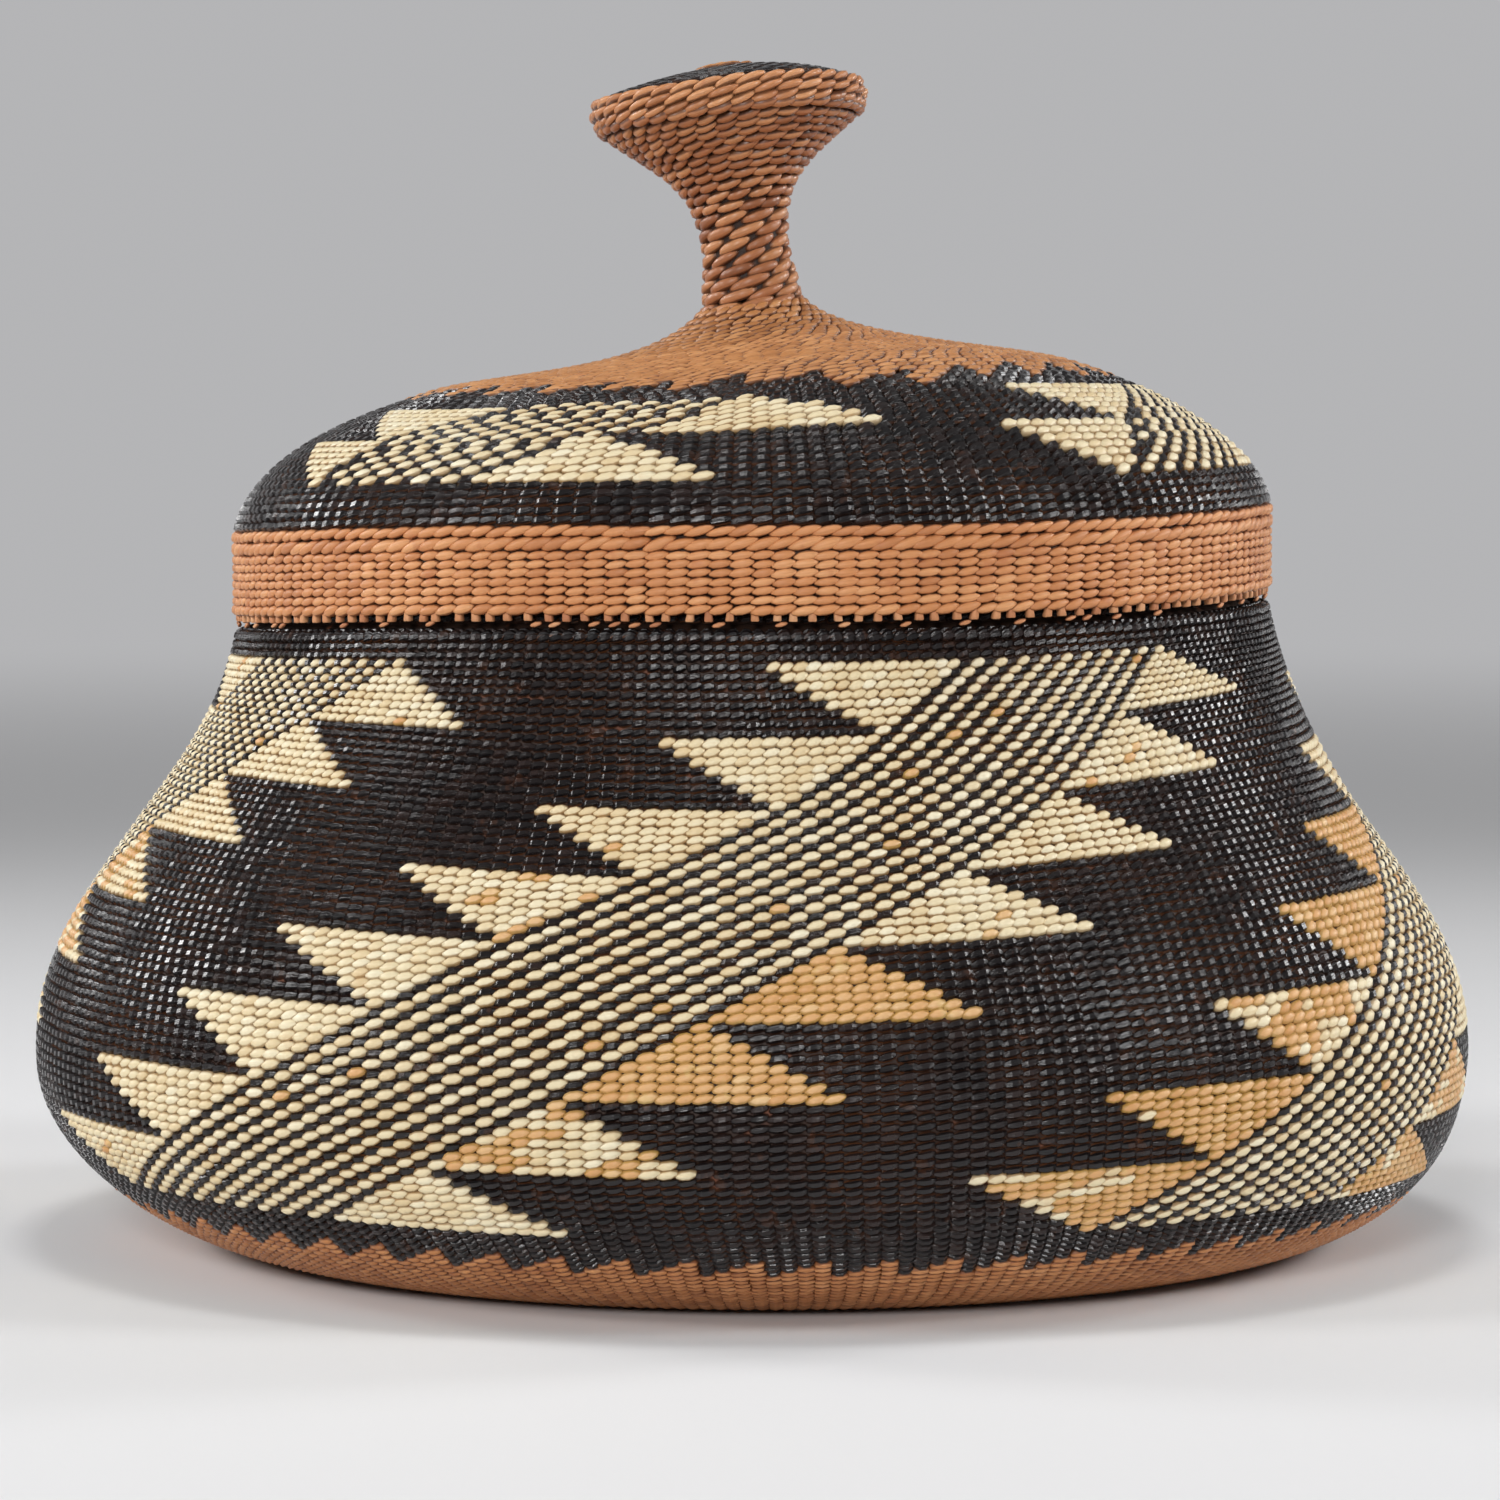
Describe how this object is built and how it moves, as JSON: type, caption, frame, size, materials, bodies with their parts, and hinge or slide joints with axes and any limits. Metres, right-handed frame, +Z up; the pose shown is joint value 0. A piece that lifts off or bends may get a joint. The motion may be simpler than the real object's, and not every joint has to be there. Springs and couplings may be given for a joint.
{
  "type": "lidded basket",
  "caption": "Squat round twined basket with a stepped-in collar and a domed lid that lifts off by a stem and trumpet-shaped knob.",
  "frame": {"origin": "middle of the flat underside of the base, where the basket stands", "axes": "+Z up along the axis of the basket, -Y towards the picture's camera, +X to its right"},
  "size_m": [0.1712, 0.1712, 0.14],
  "materials": {
    "peeled_root": "split and peeled root strands, warm tan to orange, dull satin",
    "black_fern": "black glossy fern stem laid over the weft",
    "bear_grass": "pale cream grass laid over the weft, satin",
    "stick": "peeled shoot, dull"
  },
  "bodies": {
    "basket": {"base_start": "peeled_root", "base_weave": "peeled_root", "lower_wall_weave": "peeled_root", "dark_border_weave": "black_fern", "patterned_wall_weave": "bear_grass", "neck_weave": "black_fern", "collar_weave": "peeled_root", "collar_edge_course": "peeled_root", "collar_stick_ends": "stick"},
    "lid": {"lid_stick_ends": "stick", "lid_edge_course": "peeled_root", "lid_band_weave": "peeled_root", "lid_cord_lower": "peeled_root", "lid_cord_upper": "peeled_root", "lid_shoulder_weave": "bear_grass", "lid_crown_weave": "peeled_root", "knob_stem_weave": "peeled_root", "stem_stick_bundle": "stick", "knob_flare_weave": "peeled_root", "knob_rim_cord_lower": "peeled_root", "knob_rim_cord_middle": "peeled_root", "knob_rim_cord_upper": "peeled_root", "knob_top_weave": "black_fern"}
  },
  "joints": [
    {"name": "lid_lift", "type": "slide", "parent": "basket", "child": "lid", "axis": [0, 0, 1], "range_m": [0, 0.06]}
  ]
}
